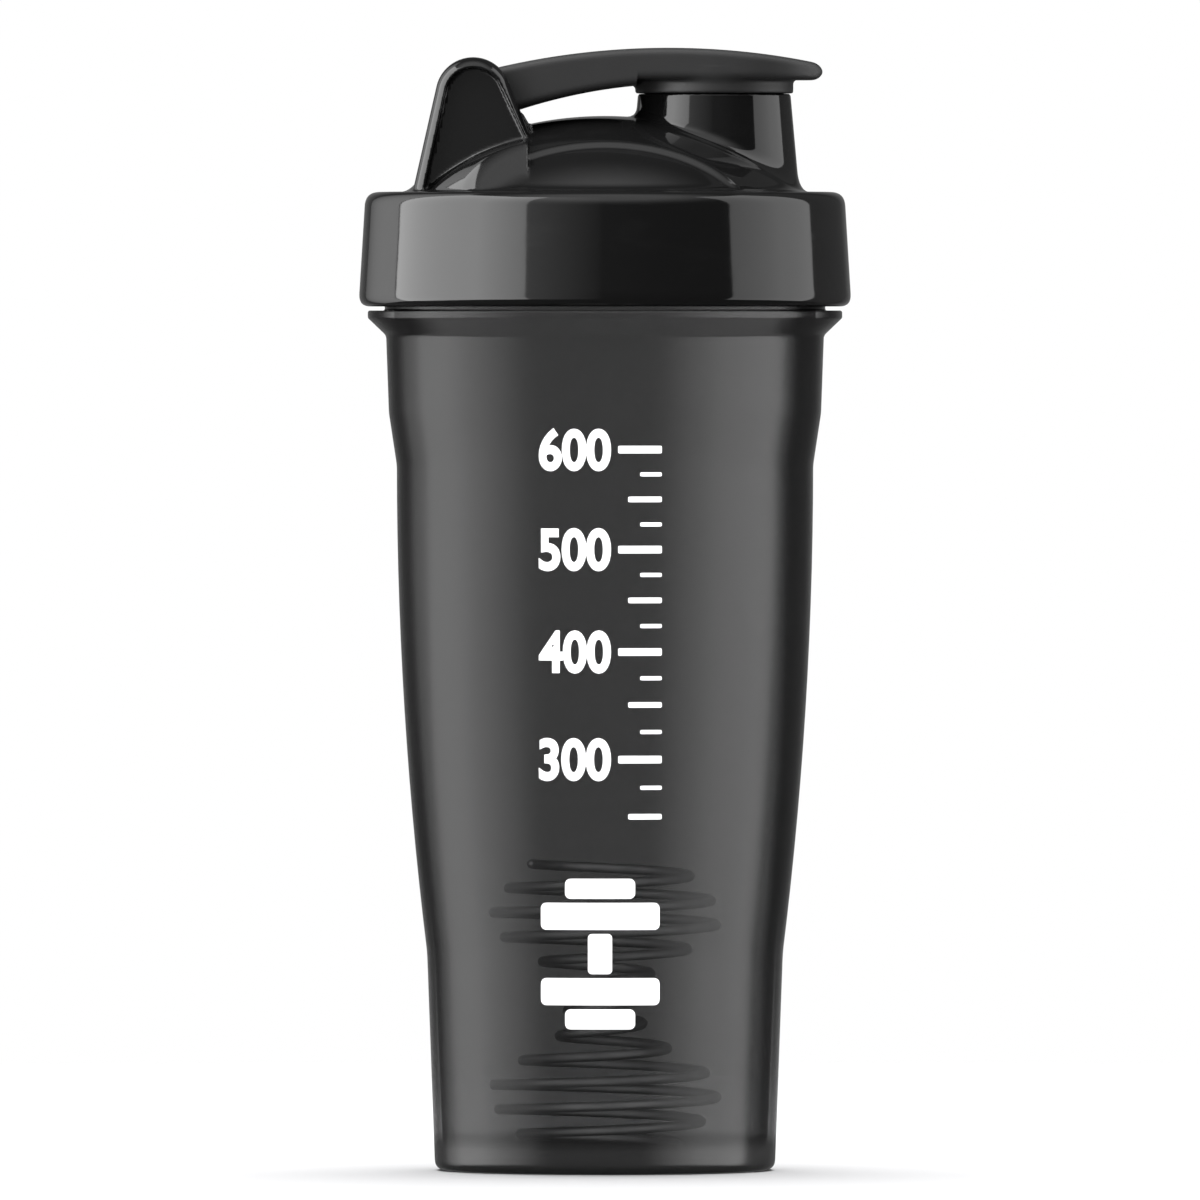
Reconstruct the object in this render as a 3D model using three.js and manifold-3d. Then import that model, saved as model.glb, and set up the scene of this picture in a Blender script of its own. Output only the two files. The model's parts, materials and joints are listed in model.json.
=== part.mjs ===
// A protein shaker bottle: a smoked cup, a screw lid with a drinking spout, a flip cap that closes
// the spout, and a loose coil mixer inside. Millimetres, +Z up. The origin is the centre of the
// foot, on the surface that the cup stands on. The spout points to +X and the cap's hinge to -X.
import * as THREE from "three";
import { mergeVertices } from "three/addons/utils/BufferGeometryUtils.js";
import Module from "manifold-3d";

const wasm = await Module();
wasm.setup();

// ---- driving dimensions ----

const ROUND = 48; // flats on each turned piece
const ARC = 4; // flats on each curved stretch of an outline

const WALL = 1.6;
const FOOT = { radius: 34, corner: 2.2, ringInside: 29.5, recess: 1.6, floor: 3.4 };
const GRIP = { z: 43.5, radius: 35.58 };
const BARREL = { z: 141, radius: 41.64 };
const BAND = { z: 151.4, radius: 43.22, topZ: 167.4, topRadius: 43.78 };
const FLANGE = { underZ: 170.2, topZ: 171.9, radius: 47.44 };
const NECK = { radius: 44.05, inside: 42.15, rimZ: 191.2, edge: 0.5 };

const THREAD = { pitch: 8, embed: 0.65, height: 1.65, foot: 1.6, crest: 0.7, fade: 0.06 };
const NECK_THREAD = { z: 177.2, turns: 1.25 };
const LID_THREAD = { drop: 2.3, start: 0.1, turns: 1.1, height: 1.8 };

const COLLAR = {
  bottomZ: 172.7,
  widestZ: 175.2,
  widest: 49.14,
  topZ: 193.2,
  top: 48.04,
  inside: 46.3,
  ceiling: 193.9,
  deckZ: 195.6,
  deckRadius: 45.7,
};
const PLUG = { outside: 41.6, inside: 40.2, bottomZ: 189.4 };
const DOME = { centreZ: 186.3, radius: 42.5, height: 24.5, flankDrop: 1.2, foot: 38.6 };
const HOLLOW = { centreZ: 185.6, radius: 39.8, height: 22.8 };
const SPINE = { halfWidth: 26.5, sideRadius: 166, skirt: 1.3 };

const SPOUT = {
  x: 21.85,
  rootZ: 192,
  shoulderZ: 215,
  radius: 15.25,
  draft: 0.09,
  lipRadius: 13.7,
  lipZ: 217.6,
  mouth: 11.6,
  throat: 13.2,
};

const HINGE = { x: -27.2, z: 214.9, knuckle: 6.3, pin: 2.4, socket: 2.6, pinTip: 17.2 };
const EAR = {
  inside: 15.6,
  web: 18.4,
  outside: 21.3,
  bevel: 1.3,
  socketEnd: 17.4,
  footDepth: 4, // how far the ear's outline runs on down into the dome
};
const EAR_OUTLINE = { x: -26.3, z: 214.9, radius: 7.5, backFoot: [-37.9, 197.6], frontFoot: [-14.9, 206.8] };
const EAR_POCKET = { x: -26.2, z: 214.6, radius: 5.4, backFoot: [-35.5, 197.2], frontFoot: [-16.3, 206.6] };
// A plinth under each ear's outer side: a curved shelf with a sloping face.
const PLINTH = {
  shelf: { x: -10.1, z: 170.8, radius: 35.3 },
  frontX: -15.3,
  rootZ: 190,
  reach: 34,
  faceOut: [-0.235, 0.818, 0.525],
  runOut: [-15.3, 31.2, 200.4], // a point where the face meets the dome
  proud: 2.3, // the most that it stands above the dome
};
const STOP_RIB = {
  rootZ: 200,
  shoulderZ: 208.8,
  topZ: 211.3,
  back: -20,
  topBack: -17,
  topFront: -15.9,
  front: -14.2,
};

const ARM = {
  halfWidth: 15.2,
  capHalfWidth: 16.4,
  crownX: 10.5,
  crownZ: 224.65,
  crownRadius: 145,
  tipX: 43.7,
  tipZ: 218,
  tipRadius: 1.7,
  tipHalfWidth: 9,
  edge: 0.9,
};
const CHANNEL = { halfWidth: 12.4, from: -17, to: 3.6, roofZ: 220 };
const SKIRT = { outside: 15.8, inside: 14.2, bottomZ: 215.3, ceilingZ: 219.1 };
const SEAL_SEAT = { radius: 10, topZ: 222 };
const SEAL = {
  flange: 13.8,
  flangeZ: 217.8,
  flangeTopZ: 218.9,
  plug: 11.25,
  plugTip: 10.9,
  plugZ: 214.6,
  wall: 1.4,
  boss: 9.7,
  bossZ: 220.6,
};
const GASKET = { inside: 41.9, outside: 45.9, bottomZ: 191.5, topZ: 193.6 };
const MIXER = {
  z: 33,
  halfHeight: 28.4,
  wire: 1,
  turns: 11.5,
  neck: 7.5,
  bulb: 22.4,
  end: 13,
  stepsPerTurn: 16,
};

// ---- shaping helpers ----

// A closed three.js geometry as a solid that can be cut and joined.
function solid(geometry) {
  const bare = new THREE.BufferGeometry();
  bare.setAttribute("position", geometry.getAttribute("position"));
  if (geometry.index) bare.setIndex(geometry.index);
  const merged = mergeVertices(bare, 1e-4);
  const vertProperties = merged.attributes.position.array;
  const triVerts = new Uint32Array(merged.index.array);
  return new wasm.Manifold(new wasm.Mesh({ numProp: 3, vertProperties, triVerts }));
}

function geometryOf(made) {
  const mesh = made.getMesh();
  const geometry = new THREE.BufferGeometry();
  geometry.setAttribute("position", new THREE.BufferAttribute(mesh.vertProperties, 3));
  geometry.setIndex(new THREE.BufferAttribute(mesh.triVerts, 1));
  geometry.computeVertexNormals();
  return geometry;
}

// Turns an outline of radius and height about Z. It runs anticlockwise, bottom to outside to top.
function turned(outline, x = 0, flats = ROUND) {
  const geometry = new THREE.LatheGeometry(outline.getPoints(ARC), flats);
  geometry.rotateX(Math.PI / 2);
  geometry.translate(x, 0, 0);
  return solid(geometry);
}

// A cone or cylinder about a vertical axis.
function drum(x, bottomZ, bottomRadius, topZ, topRadius, flats = ROUND) {
  const outline = new THREE.Path();
  outline.moveTo(0, bottomZ);
  outline.lineTo(bottomRadius, bottomZ);
  outline.lineTo(topRadius, topZ);
  outline.lineTo(0, topZ);
  return turned(outline, x, flats);
}

// Extrudes an outline of X and Z along Y, with its edges bevelled inwards.
function across(outline, fromY, toY, bevel = 0) {
  const geometry = new THREE.ExtrudeGeometry(outline, {
    depth: toY - fromY - 2 * bevel,
    bevelEnabled: bevel > 0,
    bevelThickness: bevel,
    bevelSize: bevel,
    bevelOffset: -bevel,
    bevelSegments: 1,
    curveSegments: ARC,
  });
  geometry.rotateX(Math.PI / 2);
  geometry.translate(0, toY - bevel, 0);
  return solid(geometry);
}

// Extrudes an outline of X and Y upwards.
function upright(outline, bottomZ, topZ) {
  const geometry = new THREE.ExtrudeGeometry(outline, {
    depth: topZ - bottomZ,
    bevelEnabled: false,
    curveSegments: ARC,
  });
  geometry.translate(0, 0, bottomZ);
  return solid(geometry);
}

function block(fromX, toX, fromY, toY, fromZ, toZ) {
  const geometry = new THREE.BoxGeometry(toX - fromX, toY - fromY, toZ - fromZ);
  geometry.translate((fromX + toX) / 2, (fromY + toY) / 2, (fromZ + toZ) / 2);
  return solid(geometry);
}

// A round bar along Y at the hinge.
function hingeBar(radius, fromY, toY, flats = 24) {
  const geometry = new THREE.CylinderGeometry(radius, radius, toY - fromY, flats);
  geometry.translate(HINGE.x, (fromY + toY) / 2, HINGE.z);
  return solid(geometry);
}

// The same solid on both sides of the plane Y = 0.
function bothSides(made) {
  return made.add(made.mirror([0, 1, 0]));
}

// The angle at which a line from a point outside a circle touches it; side is 1 or -1.
function touchAngle(circle, [x, z], side) {
  const away = Math.atan2(z - circle.z, x - circle.x);
  const reach = Math.hypot(x - circle.x, z - circle.z);
  return away + side * Math.acos(circle.radius / reach);
}

// A helical ridge with a tapered section, from radius root out or in to radius crest. Both ends fade out.
function helicalRidge(root, crest, halfFoot, startZ, startTurn, turns) {
  const section = new THREE.Shape();
  const [near, far] = root < crest ? [halfFoot, THREAD.crest] : [THREAD.crest, halfFoot];
  const [low, high] = [Math.min(root, crest), Math.max(root, crest)];
  section.moveTo(low, -near);
  section.lineTo(high, -far);
  section.lineTo(high, far);
  section.lineTo(low, near);
  const steps = Math.round(turns * 40);
  const geometry = new THREE.ExtrudeGeometry(section, { depth: 1, steps, bevelEnabled: false });
  const position = geometry.getAttribute("position");
  for (let i = 0; i < position.count; i++) {
    const along = 1 - position.getZ(i);
    const fade = Math.min(1, 0.15 + Math.min(along, 1 - along) / THREAD.fade);
    const radius = root + (position.getX(i) - root) * fade;
    const turn = startTurn + along * turns;
    const angle = 2 * Math.PI * turn;
    const z = startZ + THREAD.pitch * turn + position.getY(i);
    position.setXYZ(i, radius * Math.cos(angle), radius * Math.sin(angle), z);
  }
  return solid(geometry);
}

// ---- the cup ----

function makeCup() {
  const wall = new THREE.Path();
  wall.moveTo(0, FOOT.recess);
  wall.lineTo(FOOT.ringInside - 1.5, FOOT.recess);
  wall.lineTo(FOOT.ringInside, 0);
  wall.absarc(FOOT.radius - FOOT.corner, FOOT.corner, FOOT.corner, -Math.PI / 2, 0);
  wall.lineTo(GRIP.radius, GRIP.z);
  wall.quadraticCurveTo(BARREL.radius, (GRIP.z + BARREL.z) / 2, BARREL.radius, BARREL.z);
  wall.lineTo(BAND.radius, BAND.z);
  wall.lineTo(BAND.topRadius, BAND.topZ);
  wall.lineTo(FLANGE.radius, FLANGE.underZ);
  wall.lineTo(FLANGE.radius, FLANGE.topZ);
  wall.lineTo(NECK.radius, FLANGE.topZ);
  wall.lineTo(NECK.radius, NECK.rimZ - NECK.edge);
  wall.lineTo(NECK.radius - NECK.edge, NECK.rimZ);
  wall.lineTo(NECK.inside, NECK.rimZ);
  wall.lineTo(BAND.topRadius - WALL, BAND.topZ);
  wall.lineTo(BAND.radius - WALL, BAND.z);
  wall.lineTo(BARREL.radius - WALL, BARREL.z);
  wall.quadraticCurveTo(
    BARREL.radius - WALL,
    (GRIP.z + BARREL.z) / 2,
    GRIP.radius - WALL,
    GRIP.z,
  );
  wall.lineTo(FOOT.radius - WALL, FOOT.floor + 3);
  wall.lineTo(FOOT.radius - WALL - 3, FOOT.floor);
  wall.lineTo(0, FOOT.floor);
  const root = NECK.radius - THREAD.embed;
  const crest = NECK.radius + THREAD.height;
  const ridge = helicalRidge(root, crest, THREAD.foot, NECK_THREAD.z, 0, NECK_THREAD.turns);
  return turned(wall).add(ridge);
}

// ---- the screw lid ----

function domeOutline(path, dome, centreZ) {
  const angle = Math.acos(DOME.foot / dome.radius);
  path.absellipse(0, centreZ, dome.radius, dome.height, angle, Math.PI / 2);
}

// The collar's outside and the dome above it, solid right through.
function lidBlank(domeDrop) {
  const outline = new THREE.Path();
  outline.moveTo(0, COLLAR.bottomZ);
  outline.lineTo(COLLAR.widest - 1.9, COLLAR.bottomZ);
  outline.quadraticCurveTo(COLLAR.widest, COLLAR.bottomZ, COLLAR.widest, COLLAR.widestZ);
  outline.lineTo(COLLAR.top, COLLAR.topZ);
  outline.quadraticCurveTo(COLLAR.top, COLLAR.deckZ, COLLAR.deckRadius, COLLAR.deckZ);
  domeOutline(outline, DOME, DOME.centreZ - domeDrop);
  return turned(outline);
}

// The middle of the dome, which stands a little proud of its flanks.
function makeSpine() {
  const { halfWidth, sideRadius, skirt } = SPINE;
  const dome = new THREE.Path();
  dome.moveTo(0, COLLAR.deckZ - skirt);
  dome.lineTo(DOME.foot + skirt, COLLAR.deckZ - skirt);
  domeOutline(dome, DOME, DOME.centreZ);
  const bulge = sideRadius - Math.sqrt(sideRadius ** 2 - DOME.foot ** 2);
  const plan = new THREE.Shape();
  plan.moveTo(-DOME.foot - skirt, -halfWidth - bulge);
  plan.quadraticCurveTo(0, -halfWidth + bulge, DOME.foot + skirt, -halfWidth - bulge);
  plan.lineTo(DOME.foot + skirt, halfWidth + bulge);
  plan.quadraticCurveTo(0, halfWidth - bulge, -DOME.foot - skirt, halfWidth + bulge);
  return turned(dome).intersect(upright(plan, COLLAR.deckZ - skirt - 1, DOME.centreZ + DOME.height + 1));
}

// Everything that is hollow under the dome and inside the collar, around the plug ring.
function lidHollow() {
  const inside = new THREE.Path();
  inside.moveTo(0, COLLAR.bottomZ - 1);
  inside.lineTo(COLLAR.inside + 0.6, COLLAR.bottomZ - 1);
  inside.lineTo(COLLAR.inside, COLLAR.bottomZ + 1);
  inside.lineTo(COLLAR.inside, COLLAR.ceiling);
  inside.lineTo(PLUG.outside, COLLAR.ceiling);
  inside.lineTo(PLUG.outside, PLUG.bottomZ);
  inside.lineTo(PLUG.inside, PLUG.bottomZ);
  inside.lineTo(PLUG.inside, COLLAR.ceiling);
  const start = Math.asin((COLLAR.ceiling - HOLLOW.centreZ) / HOLLOW.height);
  inside.absellipse(0, HOLLOW.centreZ, HOLLOW.radius, HOLLOW.height, start, Math.PI / 2);
  return turned(inside);
}

function makeSpout() {
  const { x, rootZ, shoulderZ, radius, draft, lipRadius, lipZ } = SPOUT;
  const cone = drum(x, rootZ, radius + draft * (shoulderZ - rootZ), shoulderZ, radius, 48);
  return cone.add(drum(x, shoulderZ - 1, lipRadius, lipZ, lipRadius - 0.4, 48));
}

function spoutBore() {
  const throat = drum(SPOUT.x, SPOUT.rootZ - 6, SPOUT.throat, SPOUT.shoulderZ - 1, SPOUT.mouth, 48);
  const mouth = drum(SPOUT.x, SPOUT.shoulderZ - 2, SPOUT.mouth, SPOUT.lipZ + 1, SPOUT.mouth, 48);
  return throat.add(mouth);
}

// The outline of an ear in X and Z: two straight edges that touch a round top.
function earOutline(ear) {
  const [backX, backZ] = ear.backFoot;
  const [frontX, frontZ] = ear.frontFoot;
  const outline = new THREE.Shape();
  outline.moveTo(backX - 0.15 * EAR.footDepth, backZ - EAR.footDepth);
  outline.lineTo(frontX + 0.85 * EAR.footDepth, frontZ - 2 * EAR.footDepth);
  outline.lineTo(frontX, frontZ);
  const start = touchAngle(ear, ear.frontFoot, 1);
  const end = touchAngle(ear, ear.backFoot, -1);
  outline.absarc(ear.x, ear.z, ear.radius, start, end);
  outline.lineTo(backX, backZ);
  return outline;
}

// The two hinge ears, each hollowed from its outer side down to a web that holds the cap's pin.
function makeEars() {
  const cheek = across(earOutline(EAR_OUTLINE), EAR.inside - 3, EAR.outside, EAR.bevel)
    .subtract(block(-50, 0, 0, EAR.inside, 180, 240))
    .subtract(across(earOutline(EAR_POCKET), EAR.web, EAR.outside + 2));
  return bothSides(cheek);
}

// The rib between the ears that the arm's root comes down behind.
function makePlinths() {
  const { shelf, frontX, rootZ, reach, faceOut, runOut, proud } = PLINTH;
  const start = Math.acos((frontX - shelf.x) / shelf.radius);
  const end = Math.PI - Math.asin((rootZ - shelf.z) / shelf.radius);
  const side = new THREE.Shape();
  side.moveTo(frontX, rootZ);
  side.absarc(shelf.x, shelf.z, shelf.radius, start, end);
  const out = faceOut[0] * runOut[0] + faceOut[1] * runOut[1] + faceOut[2] * runOut[2];
  const plinth = across(side, EAR.web - 0.5, reach)
    .trimByPlane(faceOut.map((part) => -part), -out)
    .intersect(lidBlank(-proud));
  return bothSides(plinth);
}

function makeStopRib() {
  const { rootZ, shoulderZ, topZ, back, topBack, topFront, front } = STOP_RIB;
  const rib = new THREE.Shape();
  rib.moveTo(back, rootZ);
  rib.lineTo(front, rootZ);
  rib.lineTo(front, shoulderZ);
  rib.lineTo(topFront, topZ);
  rib.lineTo(topBack, topZ);
  rib.lineTo(back, shoulderZ);
  return across(rib, -EAR.inside - 1, EAR.inside + 1);
}

function makeScrewLid() {
  const sockets = hingeBar(HINGE.socket, EAR.inside - 1, EAR.socketEnd);
  const root = COLLAR.inside + THREAD.embed;
  const crest = COLLAR.inside - LID_THREAD.height;
  const { drop, start, turns } = LID_THREAD;
  const ridge = helicalRidge(root, crest, THREAD.foot, NECK_THREAD.z - drop, start, turns);
  return lidBlank(DOME.flankDrop)
    .add(makeEars())
    .add(makePlinths())
    .add(makeSpine())
    .add(makeStopRib())
    .add(makeSpout())
    .subtract(lidHollow())
    .subtract(spoutBore())
    .subtract(bothSides(sockets))
    .add(ridge);
}

// ---- the flip cap ----

// The arm from the side: knuckle, crowned top, thumb tab and curved underside.
function armOutline() {
  const { crownX, crownZ, crownRadius, tipX, tipZ, tipRadius } = ARM;
  const crownAngle = (x) => Math.acos((x - crownX) / crownRadius);
  const tipCentre = { x: tipX - tipRadius, z: tipZ + tipRadius };
  const outline = new THREE.Shape();
  outline.absarc(HINGE.x, HINGE.z, HINGE.knuckle, Math.PI / 2, -Math.PI / 4);
  outline.quadraticCurveTo(-12, 215.4, 5.6, 217.4);
  outline.lineTo(8, tipZ);
  outline.absarc(tipCentre.x, tipCentre.z, tipRadius, -Math.PI / 2, 0.42 * Math.PI);
  outline.absarc(
    crownX,
    crownZ - crownRadius,
    crownRadius,
    crownAngle(tipX - 3),
    crownAngle(HINGE.x + 6),
  );
  return outline;
}

// The arm from above: it widens a little to the cap, then rounds in to the thumb tab.
function armPlan() {
  const back = HINGE.x - HINGE.knuckle - 1;
  const { halfWidth, capHalfWidth, tipX, tipHalfWidth } = ARM;
  const plan = new THREE.Shape();
  plan.moveTo(back, -halfWidth);
  plan.lineTo(SPOUT.x, -capHalfWidth);
  plan.quadraticCurveTo(tipX - 4, -capHalfWidth + 0.6, tipX - 0.8, -tipHalfWidth);
  plan.quadraticCurveTo(tipX + 1, 0, tipX - 0.8, tipHalfWidth);
  plan.quadraticCurveTo(tipX - 4, capHalfWidth - 0.6, SPOUT.x, capHalfWidth);
  plan.lineTo(back, halfWidth);
  return plan;
}

function makeFlipCap() {
  const arm = across(armOutline(), -ARM.capHalfWidth, ARM.capHalfWidth, ARM.edge);
  const skirt = drum(SPOUT.x, SKIRT.bottomZ, SKIRT.outside, SKIRT.ceilingZ, SKIRT.outside, 48);
  const seat = drum(SPOUT.x, SKIRT.bottomZ - 1, SKIRT.inside, SKIRT.ceilingZ, SKIRT.inside, 48);
  const pocket = drum(SPOUT.x, SKIRT.ceilingZ - 1, SEAL_SEAT.radius, SEAL_SEAT.topZ, SEAL_SEAT.radius, 32);
  const { halfWidth, from, to, roofZ } = CHANNEL;
  const channel = block(from, to, -halfWidth, halfWidth, 205, roofZ);
  const pin = hingeBar(HINGE.pin, ARM.halfWidth - 2, HINGE.pinTip);
  return arm
    .intersect(upright(armPlan(), 200, 230))
    .add(skirt)
    .subtract(seat)
    .subtract(pocket)
    .subtract(channel)
    .add(bothSides(pin));
}

// ---- the small pieces ----

// The soft seal pressed into the cap: a boss, a flange over the spout's lip and a plug ring.
function makeSpoutSeal() {
  const outline = new THREE.Path();
  outline.moveTo(0, SEAL.flangeZ);
  outline.lineTo(SEAL.plugTip - SEAL.wall, SEAL.flangeZ);
  outline.lineTo(SEAL.plugTip - SEAL.wall, SEAL.plugZ);
  outline.lineTo(SEAL.plugTip, SEAL.plugZ);
  outline.lineTo(SEAL.plug, SEAL.plugZ + 1);
  outline.lineTo(SEAL.plug, SEAL.flangeZ);
  outline.lineTo(SEAL.flange, SEAL.flangeZ);
  outline.lineTo(SEAL.flange, SEAL.flangeTopZ);
  outline.lineTo(SEAL.boss, SEAL.flangeTopZ);
  outline.lineTo(SEAL.boss, SEAL.bossZ);
  outline.lineTo(0, SEAL.bossZ);
  return turned(outline, SPOUT.x, 48);
}

function makeLidGasket() {
  const { inside, outside, bottomZ, topZ } = GASKET;
  const outline = new THREE.Path();
  outline.moveTo(inside, bottomZ);
  outline.lineTo(outside, bottomZ);
  outline.lineTo(outside, topZ);
  outline.lineTo(inside, topZ);
  outline.lineTo(inside, bottomZ);
  return turned(outline);
}

// The mixer's wire: one helix that swells into a bulb above and below a narrow waist.
class MixerWire extends THREE.Curve {
  getPoint(t) {
    const height = 2 * t - 1;
    const out = Math.abs(height);
    const rise = THREE.MathUtils.smoothstep(out, 0.12, 0.6);
    const fall = THREE.MathUtils.smoothstep(out, 0.62, 1.15);
    const radius = MIXER.neck + (MIXER.bulb - MIXER.neck) * rise - (MIXER.bulb - MIXER.end) * fall;
    const angle = 2 * Math.PI * MIXER.turns * t;
    return new THREE.Vector3(
      radius * Math.cos(angle),
      radius * Math.sin(angle),
      MIXER.z + MIXER.halfHeight * height,
    );
  }
}

function makeCoilMixer() {
  const section = new THREE.Shape();
  section.absarc(0, 0, MIXER.wire, 0, 2 * Math.PI);
  const geometry = new THREE.ExtrudeGeometry(section, {
    steps: Math.round(MIXER.turns * MIXER.stepsPerTurn),
    extrudePath: new MixerWire(),
    curveSegments: 3,
  });
  return solid(geometry);
}

// ---- the assembly ----

const smokedPlastic = new THREE.MeshStandardMaterial({ color: 0x4a4a4a, roughness: 0.3, metalness: 0 });
const glossBlack = new THREE.MeshStandardMaterial({ color: 0x1c1c1c, roughness: 0.12, metalness: 0 });
const satinBlack = new THREE.MeshStandardMaterial({ color: 0x363636, roughness: 0.45, metalness: 0 });
const silicone = new THREE.MeshStandardMaterial({ color: 0x8e8e8a, roughness: 0.6, metalness: 0 });
const steel = new THREE.MeshStandardMaterial({ color: 0xc4c6c8, roughness: 0.25, metalness: 1 });

const bottle = new THREE.Group();

function addPiece(name, made, material) {
  const mesh = new THREE.Mesh(geometryOf(made), material);
  mesh.name = name;
  bottle.add(mesh);
}

addPiece("cup", makeCup(), smokedPlastic);
addPiece("lid_gasket", makeLidGasket(), silicone);
addPiece("screw_lid", makeScrewLid(), glossBlack);
addPiece("flip_cap", makeFlipCap(), satinBlack);
addPiece("spout_seal", makeSpoutSeal(), silicone);
addPiece("coil_mixer", makeCoilMixer(), steel);

export default bottle;
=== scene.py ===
"""The looks of a protein shaker bottle: smoked cup, gloss black screw lid, satin flip cap, soft
seals, coil mixer and a printed scale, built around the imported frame. Lengths are in millimetres
unless a line says otherwise: +Z up, +X towards the spout, the cup's foot on Z = 0."""

import json
import math

import bmesh
import bpy
import numpy as np
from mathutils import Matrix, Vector


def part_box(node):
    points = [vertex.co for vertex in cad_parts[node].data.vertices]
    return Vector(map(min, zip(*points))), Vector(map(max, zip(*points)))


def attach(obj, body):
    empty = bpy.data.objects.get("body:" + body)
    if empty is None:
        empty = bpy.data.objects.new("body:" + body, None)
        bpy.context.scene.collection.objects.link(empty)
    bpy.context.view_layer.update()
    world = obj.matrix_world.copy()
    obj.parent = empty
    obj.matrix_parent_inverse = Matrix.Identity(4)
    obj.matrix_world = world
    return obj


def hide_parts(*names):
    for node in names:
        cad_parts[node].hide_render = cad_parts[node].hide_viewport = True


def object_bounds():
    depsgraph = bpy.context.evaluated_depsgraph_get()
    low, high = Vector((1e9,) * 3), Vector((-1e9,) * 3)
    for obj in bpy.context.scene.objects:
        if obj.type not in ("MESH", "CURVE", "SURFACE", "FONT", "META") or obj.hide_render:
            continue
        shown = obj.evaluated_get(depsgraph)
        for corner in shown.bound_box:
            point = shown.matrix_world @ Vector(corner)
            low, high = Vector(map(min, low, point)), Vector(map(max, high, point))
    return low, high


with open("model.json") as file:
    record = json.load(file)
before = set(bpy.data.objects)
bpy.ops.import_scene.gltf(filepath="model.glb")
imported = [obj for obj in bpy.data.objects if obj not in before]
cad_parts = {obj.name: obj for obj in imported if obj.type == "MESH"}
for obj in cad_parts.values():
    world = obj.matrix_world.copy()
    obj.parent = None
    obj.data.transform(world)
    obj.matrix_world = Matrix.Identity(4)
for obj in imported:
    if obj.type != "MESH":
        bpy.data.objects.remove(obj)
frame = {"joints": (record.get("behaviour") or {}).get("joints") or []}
cad_low, cad_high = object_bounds()

MM = 0.001

# ---- sizes, in millimetres ----


def node_box(node):
    """A CAD node's lowest and highest corners, in millimetres."""
    low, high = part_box(node)
    return np.array(low) / MM, np.array(high) / MM


def joint(name):
    return next(j for j in frame["joints"] if j["name"] == name)


_, CUP_HIGH = node_box("cup")
LID_LOW, LID_HIGH = node_box("screw_lid")
CAP_LOW, CAP_HIGH = node_box("flip_cap")
SEAL_LOW, SEAL_HIGH = node_box("spout_seal")
GASKET_LOW, GASKET_HIGH = node_box("lid_gasket")
MIXER_LOW, MIXER_HIGH = node_box("coil_mixer")
HINGE_X, _, HINGE_Z = (v / MM for v in joint("cap_flip")["pos_m"])

RIM_Z = CUP_HIGH[2]
NECK_RADIUS = 44.05
CUP_FLOOR_Z, CUP_WALL, FOOT_RADIUS = 3.4, 1.6, 34.0
# The bowed body runs between these two places, each a radius and a height.
BODY_LOW, BODY_HIGH = np.array((35.58, 43.5)), np.array((41.64, 141))
FILL_TOP_Z = 165
THREAD_PITCH = 8
NECK_THREAD = {"z": 177.2, "turns": 1.25, "root": 43.4, "crest": 45.7}
LID_THREAD = {"z": 174.9, "start": 0.1, "turns": 1.1, "root": 46.95, "crest": 44.5}
THREAD_FOOT, THREAD_CREST = 1.6, 0.7
# A ridge starts and ends at this share of its height, and grows to the whole within this turn.
THREAD_START, THREAD_FADE = 0.15, 0.06

COLLAR_BOTTOM = LID_LOW[2]
COLLAR_RADIUS = LID_HIGH[0]
COLLAR_TAPER = 0.061
DECK_Z = 195.6
DOME = {"z": 186.3, "radius": 42.5, "height": 24.5}
FLANK_DROP = 0.85
SPINE_HALF, SPINE_FLARE = 26.5, 0.00305
HOLLOW = {"z": 185.6, "radius": 39.8, "height": 22.8}
CEILING_Z, COLLAR_INSIDE = 193.9, 46.3
PLUG_RING = {"radius": 40.9, "half": 0.7, "bottom": 189.4}

SPOUT_X = (SEAL_LOW[0] + SEAL_HIGH[0]) / 2
SPOUT = {"radius": 15.25, "draft": 0.09, "shoulder": 215.2, "lip": 13.55, "top": 217.6}
BORE = {"mouth": 11.6, "throat": 13.2, "throat_z": 186, "mouth_z": 214}

# Solids that stand on the lid start inside its wall, at this height.
ROOT_Z = 190
EAR = {"x": -26.3, "z": 214.9, "radius": 7.5, "inside": 15.6, "web": 18.4, "outside": 21.3}
EAR_FEET = ((-37.9, 197.6), (-14.9, 206.8))
POCKET = {"x": -26.2, "z": 214.6, "radius": 5.6}
POCKET_FEET = ((-35.7, 197.2), (-16.2, 206.6))
POCKET_LEAN = 0.08
SOCKET = {"radius": 2.6, "end": 17.4}
PIN = {"radius": 2.4, "end": 17.2}
STOP_RIB = {"top": 211.4, "back": -19.5, "front": -16.5, "lean": 0.6}

SHELF = {"x": -10.1, "z": 170.8, "radius": 35.3}
PLINTH_FRONT, PLINTH_PROUD = -15.3, 2.9
FACE_OUT, RUN_OUT = (-0.235, 0.818, 0.525), (-15.3, 31.2, 200.4)

CROWN = {"x": 12.6, "top": 224.3, "radius": 150}
BELLY = {"x": 6.4, "z": 216.95, "slope": 0.088, "curve": 0.005}
ARM = {
    "half": 15.2,
    "cap_half": 16.4,
    "knuckle": 6.3,
    "nose": 7.6,
    "tip": CAP_HIGH[0],
    "tab_z": 218.0,
}
SKIRT = {"outside": 15.8, "inside": 14.2, "bottom": 215.3, "ceiling": 219.1}
SEAL_SEAT = {"radius": 10, "top": 222}
CHANNEL = {"from": -17, "to": 3.6, "half": 12.4, "roof": 220}

# ---- solids described by their distance fields ----

# A sloping side measured straight across reads too far, so it is scaled to its true distance.
THREAD_SLANT, CHAMFER_SLANT, RIB_SLANT, BELLY_SLANT = 0.93, 0.7, 0.86, 0.97


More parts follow.
